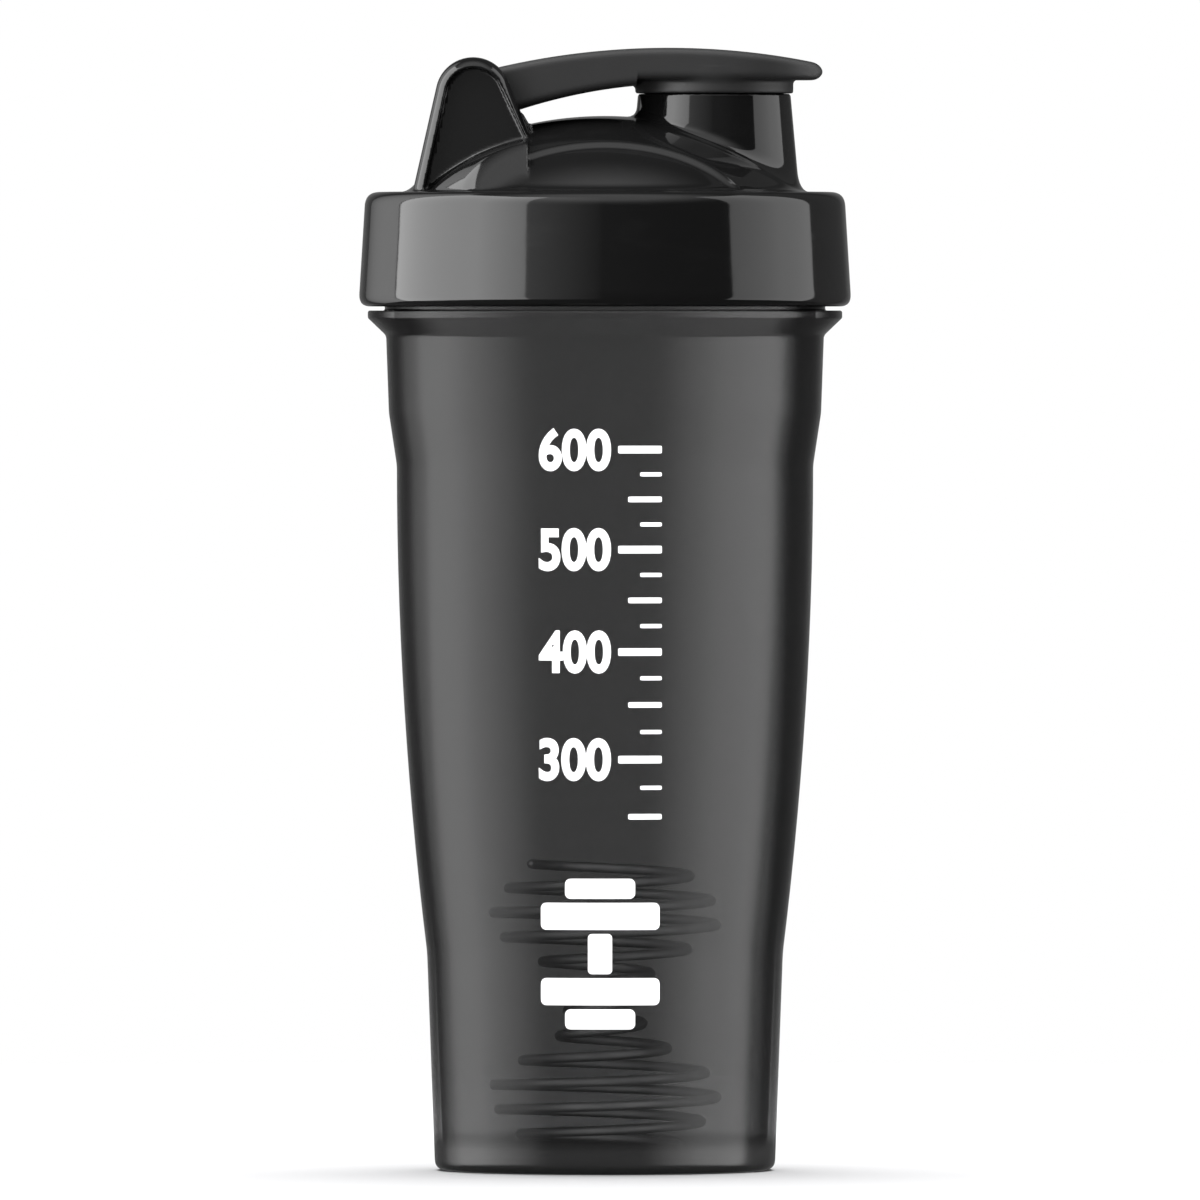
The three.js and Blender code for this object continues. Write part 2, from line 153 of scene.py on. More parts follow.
def soft_max(a, b, blend):
    """The larger of two distances, with the edge between them rounded over a width of blend."""
    share = np.clip(0.5 + 0.5 * (a - b) / blend, 0, 1)
    return b + (a - b) * share + blend * share * (1 - share)


def soft_min(a, b, blend):
    return -soft_max(-a, -b, blend)


def ellipsoid(x, y, z, shape, drop=0):
    """Distance to a flattened sphere about the Z axis."""
    wide, tall = shape["radius"], shape["height"]
    rise = z - shape["z"] + drop
    reach = np.sqrt((x * x + y * y) / wide**2 + rise * rise / tall**2)
    slope = np.sqrt((x * x + y * y) / wide**4 + rise * rise / tall**4) + 1e-9
    return reach * (reach - 1) / slope


def round_wedge(x, z, centre, radius, feet):
    """Distance, in the XZ plane, to a wedge whose rounded top is a circle and whose sides run
    down to touch the two feet."""
    px, pz = x - centre[0], z - centre[1]
    sides, beyond = [], []
    for (foot_x, foot_z), hand in zip(feet, (-1, 1)):
        dx, dz = foot_x - centre[0], foot_z - centre[1]
        reach = math.hypot(dx, dz)
        lean = math.atan2(dz, dx) - hand * math.asin(radius / reach)
        down = (math.cos(lean), math.sin(lean))
        sides.append(hand * (pz * down[0] - px * down[1]))
        beyond.append(px * down[0] + pz * down[1] < 0)
    flat = np.maximum(sides[0], sides[1])
    return np.where(beyond[0] & beyond[1], np.hypot(px, pz), flat) - radius


def helix_ridge(x, y, z, thread, start):
    """Distance to a tapered thread ridge that winds up about the Z axis from turn start."""
    radius = np.hypot(x, y)
    root, crest = thread["root"], thread["crest"]
    share = np.clip((radius - root) / (crest - root), 0, 1)
    half = THREAD_FOOT + (THREAD_CREST - THREAD_FOOT) * share
    first_turn = np.mod(np.arctan2(y, x) / (2 * math.pi), 1)
    nearest = np.full(np.shape(x), 1e3)
    for lap in (0, 1):
        turn = first_turn + lap
        left = np.minimum(turn - start, start + thread["turns"] - turn)
        fade = np.clip(THREAD_START + left / THREAD_FADE, THREAD_START, 1)
        top = root + (crest - root) * fade
        radial = np.abs(radius - (root + top) / 2) - abs(top - root) / 2
        flank = (np.abs(z - thread["z"] - THREAD_PITCH * turn) - half) * THREAD_SLANT
        ends = -left * 2 * math.pi * abs(root)
        ridge = soft_max(soft_max(flank, radial, 0.4), ends, 0.4)
        nearest = np.minimum(nearest, ridge)
    return nearest


def dome_field(x, y, z):
    """The dome: a spine down the middle that stands proud of the two flanks, with a chamfer
    along each side."""
    top = ellipsoid(x, y, z, DOME)
    side = CHAMFER_SLANT * (np.abs(y) - SPINE_HALF - SPINE_FLARE * x * x + top)
    flank = ellipsoid(x, y, z, DOME, FLANK_DROP)
    return soft_min(soft_max(top, side, 0.5), flank, 0.4)


def collar_field(x, y, z):
    widest = COLLAR_RADIUS - COLLAR_TAPER * np.maximum(z - COLLAR_BOTTOM - 2.5, 0)
    side = np.hypot(x, y) - widest
    return soft_max(soft_max(side, z - DECK_Z, 2.8), COLLAR_BOTTOM - z, 2.2)


def ears_field(x, y, z):
    """The two hinge ears, each dished on its outer side."""
    out = np.abs(y)
    plate = round_wedge(x, z, (EAR["x"], EAR["z"]), EAR["radius"], EAR_FEET)
    plate = soft_max(plate, out - EAR["outside"], 4.2)
    plate = soft_max(plate, EAR["inside"] - out, 0.8)
    dish = round_wedge(x, z, (POCKET["x"], POCKET["z"]), POCKET["radius"], POCKET_FEET)
    dish = soft_max(dish, EAR["web"] + POCKET_LEAN * (x - EAR["x"]) - out, 0.4)
    return soft_max(soft_max(plate, -dish, 0.6), ROOT_Z - z, 0.5)


def plinths_field(x, y, z):
    """The plinth under each ear's outer side: a curved shelf with a sloping face."""
    out = np.abs(y)
    shelf = np.hypot(x - SHELF["x"], z - SHELF["z"]) - SHELF["radius"]
    offsets = (x - RUN_OUT[0], out - RUN_OUT[1], z - RUN_OUT[2])
    face = sum(part * offset for part, offset in zip(FACE_OUT, offsets))
    plinth = soft_max(soft_max(shelf, face, 0.5), x - PLINTH_FRONT, 0.6)
    plinth = soft_max(plinth, ellipsoid(x, y, z, DOME, -PLINTH_PROUD), 0.8)
    return soft_max(np.maximum(plinth, EAR["web"] - 0.5 - out), ROOT_Z - z, 0.5)


def stop_rib_field(x, y, z):
    """The rib between the ears, in front of the arm's root."""
    front = x - STOP_RIB["front"] - STOP_RIB["lean"] * (STOP_RIB["top"] - z)
    front = front * RIB_SLANT
    across = soft_max(soft_max(front, STOP_RIB["back"] - x, 0.5), z - STOP_RIB["top"], 0.5)
    return soft_max(np.maximum(across, ROOT_Z + 2 - z), np.abs(y) - EAR["inside"] - 1, 0.5)


def spout_field(x, y, z):
    reach = np.hypot(x - SPOUT_X, y)
    wall = reach - SPOUT["radius"] - SPOUT["draft"] * (SPOUT["shoulder"] - z)
    body = soft_max(soft_max(wall, z - SPOUT["shoulder"], 0.35), ROOT_Z - z, 0.5)
    lip = soft_max(reach - SPOUT["lip"], z - SPOUT["top"], 0.9)
    return soft_min(body, soft_max(lip, ROOT_Z + 10 - z, 0.5), 0.4)


def lid_hollow_field(x, y, z):
    """Everything hollow in the lid: the collar's inside, the dome's inside and the spout's bore."""
    reach = np.hypot(x, y)
    inside = soft_max(reach - COLLAR_INSIDE, z - CEILING_Z, 0.8)
    under_dome = ellipsoid(x, y, z, HOLLOW)
    throat = np.clip((BORE["mouth_z"] - z) / (BORE["mouth_z"] - BORE["throat_z"]), 0, 1)
    narrow = BORE["mouth"] + (BORE["throat"] - BORE["mouth"]) * throat
    bore = np.maximum(np.hypot(x - SPOUT_X, y) - narrow, ROOT_Z + 2 - z)
    return soft_min(soft_min(inside, under_dome, 1.0), bore, 1.2)


def screw_lid_field(x, y, z):
    reach = np.hypot(x, y)
    lid = soft_min(collar_field(x, y, z), dome_field(x, y, z), 1.6)
    lid = soft_min(lid, plinths_field(x, y, z), 0.5)
    lid = soft_min(lid, ears_field(x, y, z), 0.8)
    lid = soft_min(lid, stop_rib_field(x, y, z), 0.3)
    lid = soft_min(lid, spout_field(x, y, z), 2.0)
    lid = soft_max(lid, -lid_hollow_field(x, y, z), 0.6)
    ring = np.abs(reach - PLUG_RING["radius"]) - PLUG_RING["half"]
    ring = soft_max(soft_max(ring, PLUG_RING["bottom"] - z, 0.5), z - CEILING_Z - 0.7, 0.5)
    socket = np.hypot(x - HINGE_X, z - HINGE_Z) - SOCKET["radius"]
    socket = soft_max(socket, np.abs(y) - SOCKET["end"], 0.4)
    lid = soft_max(soft_min(lid, ring, 0.5), -socket, 0.3)
    return soft_min(lid, helix_ridge(x, y, z, LID_THREAD, LID_THREAD["start"]), 0.4)


def arm_width(x):
    """Half the arm's width: it widens a little to the cap, then rounds in to the thumb tab."""
    widening = np.clip((x - HINGE_X) / (SPOUT_X - HINGE_X), 0, 1)
    straight = ARM["half"] + (ARM["cap_half"] - ARM["half"]) * widening
    nose = np.clip((x - SPOUT_X) / (ARM["tip"] - SPOUT_X), 0, 1)
    return straight - ARM["nose"] * nose**3.2


def flip_cap_field(x, y, z):
    crown = np.hypot(x - CROWN["x"], z - CROWN["top"] + CROWN["radius"]) - CROWN["radius"]
    back = np.maximum(BELLY["x"] - x, 0)
    curved_z = BELLY["z"] - BELLY["slope"] * back - BELLY["curve"] * back * back
    belly = (np.where(x < BELLY["x"], curved_z, ARM["tab_z"]) - z) * BELLY_SLANT
    arm = soft_max(soft_max(crown, belly, 1.1), x - ARM["tip"], 2.6)
    knuckle = np.hypot(x - HINGE_X, z - HINGE_Z) - ARM["knuckle"]
    arm = soft_min(soft_max(arm, HINGE_X - x, 1.0), knuckle, 0.6)
    arm = soft_max(arm, np.abs(y) - arm_width(x), 1.6)
    reach = np.hypot(x - SPOUT_X, y)
    skirt = soft_max(reach - SKIRT["outside"], SKIRT["bottom"] - z, 0.5)
    skirt = soft_max(skirt, z - SKIRT["ceiling"] - 1, 0.5)
    cap = soft_min(arm, skirt, 1.0)
    cap = soft_max(cap, -soft_max(reach - SKIRT["inside"], z - SKIRT["ceiling"], 0.4), 0.4)
    seat = soft_max(reach - SEAL_SEAT["radius"], z - SEAL_SEAT["top"], 0.4)
    cap = soft_max(cap, -seat, 0.4)
    middle = (CHANNEL["from"] + CHANNEL["to"]) / 2
    channel = np.abs(x - middle) - (CHANNEL["to"] - CHANNEL["from"]) / 2
    channel = soft_max(channel, np.abs(y) - CHANNEL["half"], 3.0)
    channel = soft_max(channel, z - CHANNEL["roof"], 1.2)
    cap = soft_max(cap, -channel, 0.9)
    pin = np.hypot(x - HINGE_X, z - HINGE_Z) - PIN["radius"]
    pin = soft_max(pin, np.abs(y) - PIN["end"], 0.5)
    return soft_min(cap, pin, 0.3)


# ---- meshes ----


def slope_of(field, points, nudge=0.02):
    """The direction in which a field grows fastest at each point, and how fast."""
    slope = np.empty_like(points)
    for axis in range(3):
        ahead, behind = points.copy(), points.copy()
        ahead[:, axis] += nudge
        behind[:, axis] -= nudge
        slope[:, axis] = (field(*ahead.T) - field(*behind.T)) / (2 * nudge)
    return slope


def settle(field, points, limit, rounds=4):
    """Moves points straight onto a field's surface."""
    for _ in range(rounds):
        slope = slope_of(field, points)
        steep = np.maximum((slope * slope).sum(1), 0.05)
        step = (field(*points.T) / steep)[:, None] * slope
        size = np.maximum(np.linalg.norm(step, axis=1, keepdims=True), 1e-9)
        points = points - step * np.minimum(1, limit / size)
    return points


def sample_field(field, low, high, step):
    """A field's values on a grid, worked out a few layers at a time."""
    axes = [np.arange(a - 2 * step, b + 3 * step, step) for a, b in zip(low, high)]
    y, z = np.meshgrid(axes[1], axes[2], indexing="ij")
    layers = []
    for x in axes[0]:
        layers.append(field(np.full_like(y, x), y, z).astype(np.float32))
    return np.array(layers), np.array([a[0] for a in axes])


def skin_of(field, low, high, step):
    """The closed surface of a field as points, four-sided faces and normals. Each grid cell that
    the surface crosses holds one point, and each crossed grid edge makes one face."""
    values, origin = sample_field(field, low, high, step)
    inside = values < 0
    shape = values.shape
    total = np.zeros((values.size, 3))
    count = np.zeros(values.size)
    faces = []
    for axis in range(3):
        near = tuple(slice(0, -1) if k == axis else slice(None) for k in range(3))
        far = tuple(slice(1, None) if k == axis else slice(None) for k in range(3))
        cell = np.argwhere(inside[near] != inside[far])
        unit = np.eye(3, dtype=int)
        first = values[tuple(cell.T)]
        second = values[tuple((cell + unit[axis]).T)]
        crossing = cell + (first / (first - second))[:, None] * unit[axis]
        u, w = unit[(axis + 1) % 3], unit[(axis + 2) % 3]
        around = [cell, cell - u, cell - u - w, cell - w]
        flat = [np.ravel_multi_index(c.T, shape) for c in around]
        for index in flat:
            count += np.bincount(index, minlength=values.size)
            for k in range(3):
                total[:, k] += np.bincount(index, crossing[:, k], values.size)
        quad = np.stack(flat, 1)
        leaving = inside[tuple(cell.T)]
        faces.append(np.where(leaving[:, None], quad, quad[:, ::-1]))
    used = np.flatnonzero(count)
    number = np.full(values.size, -1)
    number[used] = np.arange(len(used))
    points = total[used] / count[used][:, None] * step + origin
    points = settle(field, points, step)
    normals = slope_of(field, points)
    normals /= np.linalg.norm(normals, axis=1, keepdims=True)
    return points, number[np.concatenate(faces)], normals


def link(name, mesh, material, body, *nodes, slot=None):
    """A finished piece: it shows mesh, rides on body and stands for the CAD nodes."""
    piece = bpy.data.objects.new(name, mesh)
    bpy.context.scene.collection.objects.link(piece)
    mesh.materials.clear()
    mesh.materials.append(material)
    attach(piece, body)
    if nodes:
        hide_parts(*nodes)
    return piece


def moulded_mesh(name, field, low, high, step):
    """A mesh of a distance field, with the field's own normals for clean reflections."""
    points, faces, normals = skin_of(field, low, high, step)
    mesh = bpy.data.meshes.new(name)
    mesh.from_pydata((points * MM).tolist(), [], faces.tolist())
    mesh.validate()
    mesh.shade_smooth()
    mesh.normals_split_custom_set_from_vertices(normals.tolist())
    return mesh


def filleted(corners, steps=7):
    """A closed outline of radius and height with each corner (radius, height, fillet) rounded."""
    made = []
    for i, (r, z, fillet) in enumerate(corners):
        here = np.array([r, z], float)
        before = np.array(corners[i - 1][:2], float) - here
        after = np.array(corners[(i + 1) % len(corners)][:2], float) - here
        if not fillet:
            made.append(here)
            continue
        long_before, long_after = np.linalg.norm(before), np.linalg.norm(after)
        before, after = before / long_before, after / long_after
        half = math.acos(np.clip(before @ after, -1, 1)) / 2
        tangent = min(fillet / math.tan(half), 0.49 * long_before, 0.49 * long_after)
        for t in np.linspace(0, 1, steps):
            curve = before * tangent * (1 - t) ** 2 + after * tangent * t**2
            made.append(here + curve)
    return np.array(made)


def lathe_mesh(name, outline, flats=256, x=0.0, closed=False):
    """Turns an outline of radius and height about a vertical axis. Points on the axis become
    the middle of a fan."""
    built = bmesh.new()
    rings = []
    for r, z in outline:
        if r < 1e-6:
            rings.append([built.verts.new((x * MM, 0, z * MM))])
            continue
        ring = []
        for k in range(flats):
            turn = 2 * math.pi * k / flats
            ring.append(
                built.verts.new(((x + r * math.cos(turn)) * MM, r * math.sin(turn) * MM, z * MM))
            )
        rings.append(ring)
    pairs = list(zip(rings, rings[1:]))
    if closed:
        pairs.append((rings[-1], rings[0]))
    for lower, upper in pairs:
        for k in range(flats):
            near, far = k, (k + 1) % flats
            if len(lower) == 1 and len(upper) == 1:
                break
            if len(lower) == 1:
                built.faces.new((lower[0], upper[far], upper[near]))
            elif len(upper) == 1:
                built.faces.new((lower[near], lower[far], upper[0]))
            else:
                built.faces.new((lower[near], lower[far], upper[far], upper[near]))
    bmesh.ops.recalc_face_normals(built, faces=built.faces)
    mesh = bpy.data.meshes.new(name)
    built.to_mesh(mesh)
    built.free()
    mesh.shade_smooth()
    return mesh


def smooth_below(mesh, degrees):
    mesh.set_sharp_from_angle(angle=math.radians(degrees))


# ---- materials ----


class Signal:
    """A node's output as a value that arithmetic can be done with."""

    def __init__(self, nodes, socket):
        self.nodes = nodes
        self.socket = socket

    def math(self, operation, first, second):
        return self.nodes.node(
            "ShaderNodeMath", {"operation": operation}, {0: first, 1: second}
        )

    def __add__(self, other):
        return self.math("ADD", self, other)

    def __radd__(self, other):
        return self.math("ADD", other, self)

    def __sub__(self, other):
        return self.math("SUBTRACT", self, other)

    def __rsub__(self, other):
        return self.math("SUBTRACT", other, self)

    def __mul__(self, other):
        return self.math("MULTIPLY", self, other)

    def __rmul__(self, other):
        return self.math("MULTIPLY", other, self)

    def __pow__(self, other):
        return self.math("POWER", self, other)


class Nodes:
    """A node tree that is built up one node at a time."""

    def __init__(self, tree):
        self.tree = tree
        self.tree.nodes.clear()

    def node(self, kind, settings=None, inputs=None, output=0):
        """Adds a node, makes its settings, fills its sockets, and returns one of its outputs."""
        made = self.tree.nodes.new(kind)
        for name, value in (settings or {}).items():
            setattr(made, name, value)
        for name, value in (inputs or {}).items():
            if isinstance(value, Signal):
                self.tree.links.new(value.socket, made.inputs[name])
            else:
                made.inputs[name].default_value = value
        return Signal(self, made.outputs[output]) if made.outputs else None

    def band(self, value, low, high, first=0.0, last=1.0):
        """Maps value from low..high to first..last, and holds it there outside."""
        return self.node(
            "ShaderNodeMapRange",
            None,
            {"Value": value, "From Min": low, "From Max": high, "To Min": first, "To Max": last},
        )

    def part(self, vector, axis):
        return self.node("ShaderNodeSeparateXYZ", None, {"Vector": vector}, axis)


class Finish(Nodes):
    """A material and the nodes that make it."""

    def __init__(self, name):
        self.material = bpy.data.materials.new(name)
        self.material.use_nodes = True
        super().__init__(self.material.node_tree)

    def place(self, stretch=(1, 1, 1)):
        """Where a point lies on the piece, in metres, stretched along each axis."""
        where = self.node("ShaderNodeTexCoord", output="Object")
        return self.node("ShaderNodeMapping", None, {"Vector": where, "Scale": stretch})

    def noise(self, scale, detail=4, roughness=0.5, stretch=(1, 1, 1)):
        return self.node(
            "ShaderNodeTexNoise",
            None,
            {
                "Vector": self.place(stretch),
                "Scale": scale,
                "Detail": detail,
                "Roughness": roughness,
            },
            "Fac",
        )

    def tint(self, share, first, second):
        """A colour that goes from first to second as share goes from 0 to 1."""
        made = self.tree.nodes.new("ShaderNodeMix")
        made.data_type = "RGBA"
        self.tree.links.new(share.socket, made.inputs["Factor"])
        for socket, colour in (("A", first), ("B", second)):
            target = next(s for s in made.inputs if s.name == socket and s.type == "RGBA")
            if isinstance(colour, Signal):
                self.tree.links.new(colour.socket, target)
            else:
                target.default_value = colour
        return Signal(self, next(s for s in made.outputs if s.type == "RGBA"))

    def bump(self, height, distance, strength=1.0):
        return self.node(
            "ShaderNodeBump", None, {"Height": height, "Distance": distance, "Strength": strength}
        )

    def surface(self, inputs):
        """The plastic, rubber or metal itself, joined to the material's output."""
        shader = self.node("ShaderNodeBsdfPrincipled", None, inputs)
        self.node("ShaderNodeOutputMaterial", None, {"Surface": shader})
        return self.material


def grey(level, alpha=1.0):
    return (level, level, level * 1.01, alpha)


def gloss_black_plastic():
    """Hard, shiny moulded polypropylene: nearly black, with a faint ripple from the mould and
    light handling marks."""
    finish = Finish("gloss_black_plastic")
    ripple = finish.noise(90, 2)
    dust = finish.noise(2600, 3, 0.6)
    marks = finish.noise(55, 6, 0.7, (1, 1, 3))
    worn = finish.band(marks, 0.55, 0.8)
    colour = finish.tint(worn, grey(0.005), grey(0.008))
    rough = 0.07 + worn * 0.05 + finish.band(dust, 0.6, 0.9) * 0.05
    return finish.surface(
        {
            "Base Color": colour,
            "Roughness": rough,
            "IOR": 1.5,
            "Normal": finish.bump(ripple, 0.00006, 0.5),
        }
    )


def satin_black_plastic():
    """The flip cap's fine spark-eroded grain, a soft dark grey."""
    finish = Finish("satin_black_plastic")
    grain = finish.noise(3200, 3, 0.6)
    cloud = finish.noise(60, 3)
    colour = finish.tint(finish.band(cloud, 0.3, 0.7), grey(0.017), grey(0.022))
    rough = 0.42 + finish.band(grain, 0.3, 0.7) * 0.12
    return finish.surface(
        {
            "Base Color": colour,
            "Roughness": rough,
            "IOR": 1.5,
            "Normal": finish.bump(grain, 0.00004, 0.4),
        }
    )


def smoked_plastic():
    """The cup's smoked plastic, which shows the mixer faintly. It is darker where the eye looks
    along the wall and in the thick foot, and painted shade darkens the foot towards its bottom
    edge."""
    finish = Finish("smoked_plastic")
    flow = finish.noise(30, 4, 0.5, (1, 1, 0.18))
    cloud = finish.noise(900, 3, 0.6)
    clear = finish.tint(finish.band(flow, 0.3, 0.7), grey(0.008), grey(0.011))
    height = finish.part(finish.place(), "Z")
    # The thick foot and floor are nearly solid to look at.
    foot = finish.band(height, 0.0045, 0.0075, 1.0, 0.0)
    # Towards the foot's bottom edge its tone darkens: painted shade where the foot meets the floor.
    ring = finish.band(height, 0.0008, 0.0020, 0.026, 0.034)
    solid = finish.node("ShaderNodeCombineColor", None, {"Red": ring, "Green": ring, "Blue": ring})
    colour = finish.tint(foot, clear, solid)
    rough = 0.17 + finish.band(flow, 0.3, 0.7) * 0.05 + finish.band(cloud, 0.3, 0.7) * 0.04
    # Where the wall turns away from the eye it hides more, later on the narrow low part.
    facing = finish.node("ShaderNodeLayerWeight", None, {"Blend": 0.5}, "Facing")
    start = finish.band(height, 0.05, 0.12, 0.58, 0.5)
    turning = finish.band(facing, start, start + 0.16)
    turning = turning * finish.band(height, 0.01, 0.06, 0.2, 0.385)
    wall = 0.575 + turning - finish.band(facing, 0.8, 0.9) * 0.13
    return finish.surface(
        {
            "Base Color": colour,
            "Roughness": rough,
            "IOR": 1.5,
            "Alpha": wall + (0.94 - wall) * foot,
            "Specular IOR Level": 0.85,
            "Normal": finish.bump(flow, 0.00008, 0.3),
        }
    )


def silicone():
    """Soft grey seal rubber with a dusty bloom."""
    finish = Finish("silicone")
    bloom = finish.noise(700, 4, 0.6)
    colour = finish.tint(finish.band(bloom, 0.3, 0.7), grey(0.22), grey(0.29))
    return finish.surface(
        {
            "Base Color": colour,
            "Roughness": 0.55 + bloom * 0.2,
            "Normal": finish.bump(bloom, 0.00003, 0.5),
        }
    )


def stainless_wire():
    """Drawn wire: bright, with fine lines and a few duller stretches."""
    finish = Finish("stainless_wire")
    draw_lines = finish.noise(2500, 2, 0.5, (1, 1, 0.3))
    dull = finish.noise(160, 4, 0.6)
    colour = finish.tint(finish.band(dull, 0.35, 0.7), grey(0.5), grey(0.38))
    return finish.surface(
        {
            "Base Color": colour,
            "Metallic": 1.0,
            "Roughness": 0.52 + finish.band(dull, 0.35, 0.7) * 0.15,
            "Normal": finish.bump(draw_lines, 0.00002, 0.5),
        }
    )


def white_ink():
    """Screen-printed ink: opaque white, slightly matt, a little thin in places."""
    finish = Finish("white_ink")
    mesh_mark = finish.noise(2200, 3, 0.6)
    thin = finish.noise(120, 4, 0.6)
    colour = finish.tint(finish.band(thin, 0.5, 0.9), grey(0.93), grey(0.84))
    return finish.surface(
        {
            "Base Color": colour,
            "Roughness": 0.4 + mesh_mark * 0.15,
            "Normal": finish.bump(mesh_mark, 0.00002, 0.4),
        }
    )


def pale_floor():
    """A pale studio table whose edge fades away into the backdrop."""
    finish = Finish("pale_floor")
    where = finish.node("ShaderNodeTexCoord", output="Object")
    spread = finish.node("ShaderNodeVectorMath", {"operation": "LENGTH"}, {0: where}, "Value")
    cloud = finish.noise(6, 3)
    colour = finish.tint(cloud, grey(0.86), grey(0.9))
    return finish.surface(
        {
            "Base Color": colour,
            "Roughness": 0.8,
            "Alpha": finish.band(spread, 0.35, 0.8, 1.0, 0.0),
            "Specular IOR Level": 0.1,
        }
    )


# ---- the pieces ----


def bowed_body(inset):
    """The body between its two ends, as corners from low to high, inset from the outside."""
    bend = np.array((BODY_HIGH[0], (BODY_LOW[1] + BODY_HIGH[1]) / 2))
    corners = []
    for t in np.linspace(0, 1, 15)[1:-1]:
        r, z = BODY_LOW * (1 - t) ** 2 + 2 * bend * t * (1 - t) + BODY_HIGH * t * t
        corners.append((r - inset, z, 0))
    return corners


def cup_outline():
    """Half of the cup's section, from the middle of the foot's recess up the outside and down the
    inside, as corners of radius, height and fillet."""
    (low_r, low_z), (high_r, high_z) = BODY_LOW, BODY_HIGH
    foot = [(0, 1.6, 0), (28.0, 1.6, 0.8), (29.5, 0, 0.4), (FOOT_RADIUS, 0, 2.4)]
    step = [(high_r, high_z, 12), (43.22, 151.4, 12), (43.78, 166.9, 1.6)]
    flange = [(47.44, 170.4, 0.7), (47.44, 171.9, 0.5), (NECK_RADIUS, 171.9, 0.4)]
    rim = [(NECK_RADIUS, RIM_Z, 0.7), (42.15, RIM_Z, 0.7)]
    step_inside = [(42.18, 167.0, 6), (43.22 - CUP_WALL, 151.4, 12)]
    step_inside.append((high_r - CUP_WALL, high_z, 12))
    floor_inside = [(low_r - CUP_WALL, low_z, 40), (FOOT_RADIUS - CUP_WALL, CUP_FLOOR_Z, 4.0)]
    outside = foot + [(low_r, low_z, 40)] + bowed_body(0) + step + flange
    inside = step_inside + bowed_body(CUP_WALL)[::-1] + floor_inside
    return filleted(outside + rim + inside + [(0, CUP_FLOOR_Z, 0)])


CUP_OUTLINE = cup_outline()


def cup_radius(z):
    """The cup's outer radius at a height below the flange."""
    top = int(np.argmax(CUP_OUTLINE[:, 1] > FILL_TOP_Z))
    bottom = int(np.argmax(CUP_OUTLINE[:, 0] > FOOT_RADIUS - 0.1))
    return np.interp(z, CUP_OUTLINE[bottom:top, 1], CUP_OUTLINE[bottom:top, 0])


def cup_volume_height(millilitres):
    """The height to which an amount fills the cup."""
    z = np.linspace(CUP_FLOOR_Z, FILL_TOP_Z, 600)
    inner = cup_radius(z) - CUP_WALL
    filled = np.concatenate([[0], np.cumsum(math.pi * inner[1:] ** 2 * np.diff(z))]) / 1000
    return float(np.interp(millilitres, filled, z))


def ridge_mesh(name, thread, start):
    """A thread ridge wound about the Z axis, its two ends fading into the wall."""
    root, crest = thread["root"], thread["crest"]
    steps = round(thread["turns"] * 96)
    built = bmesh.new()
    rings = []
    for i in range(steps + 1):
        along = i / steps
        turn = start + along * thread["turns"]
        left = min(along, 1 - along) * thread["turns"]
        fade = min(1, THREAD_START + left / THREAD_FADE)
        angle = 2 * math.pi * turn
        middle = thread["z"] + THREAD_PITCH * turn
        top = root + (crest - root) * fade
        section = [
            (root, -THREAD_FOOT),
            (top - 0.15, -THREAD_CREST - 0.1),
            (top, -THREAD_CREST + 0.2),
            (top, THREAD_CREST - 0.2),
            (top - 0.15, THREAD_CREST + 0.1),
            (root, THREAD_FOOT),
        ]
        ring = []
        for r, up in section:
            spot = (r * math.cos(angle) * MM, r * math.sin(angle) * MM, (middle + up) * MM)
            ring.append(built.verts.new(spot))
        rings.append(ring)
    for one, two in zip(rings, rings[1:]):
        for k in range(len(one)):
            after = (k + 1) % len(one)
            built.faces.new((one[k], one[after], two[after], two[k]))
    built.faces.new(rings[0][::-1])
    built.faces.new(rings[-1])
    bmesh.ops.recalc_face_normals(built, faces=built.faces)
    mesh = bpy.data.meshes.new(name)
    built.to_mesh(mesh)
    built.free()
    return mesh


def finished_mesh(holder):
    """A mesh of what an object in the scene makes. The object itself is removed."""
    bpy.context.view_layer.update()
    evaluated = holder.evaluated_get(bpy.context.evaluated_depsgraph_get())
    mesh = bpy.data.meshes.new_from_object(evaluated)
    bpy.data.objects.remove(holder)
    return mesh


def join_solids(mesh, other):
    """Unites two closed meshes into one."""
    base = bpy.data.objects.new("base", mesh)
    tool = bpy.data.objects.new("tool", other)
    for piece in (base, tool):
        bpy.context.scene.collection.objects.link(piece)
    union = base.modifiers.new("union", "BOOLEAN")
    union.operation = "UNION"
    union.solver = "EXACT"
    union.object = tool
    made = finished_mesh(base)
    made.name = mesh.name
    bpy.data.objects.remove(tool)
    return made


def make_cup(material):
    wall = lathe_mesh("cup_wall", CUP_OUTLINE)
    mesh = join_solids(wall, ridge_mesh("neck_thread", NECK_THREAD, 0))
    mesh.shade_smooth()
    smooth_below(mesh, 35)
    return link("smoked_cup", mesh, material, "cup", "cup", slot="smoked_plastic")


def make_screw_lid(material):
    step = 0.55
    mesh = moulded_mesh("screw_lid", screw_lid_field, LID_LOW, LID_HIGH, step)
    return link("black_lid", mesh, material, "lid", "screw_lid", slot="gloss_black_plastic")


def make_flip_cap(material):
    step = 0.42
    mesh = moulded_mesh("flip_cap", flip_cap_field, CAP_LOW, CAP_HIGH, step)
    return link("satin_cap", mesh, material, "cap", "flip_cap", slot="satin_black_plastic")


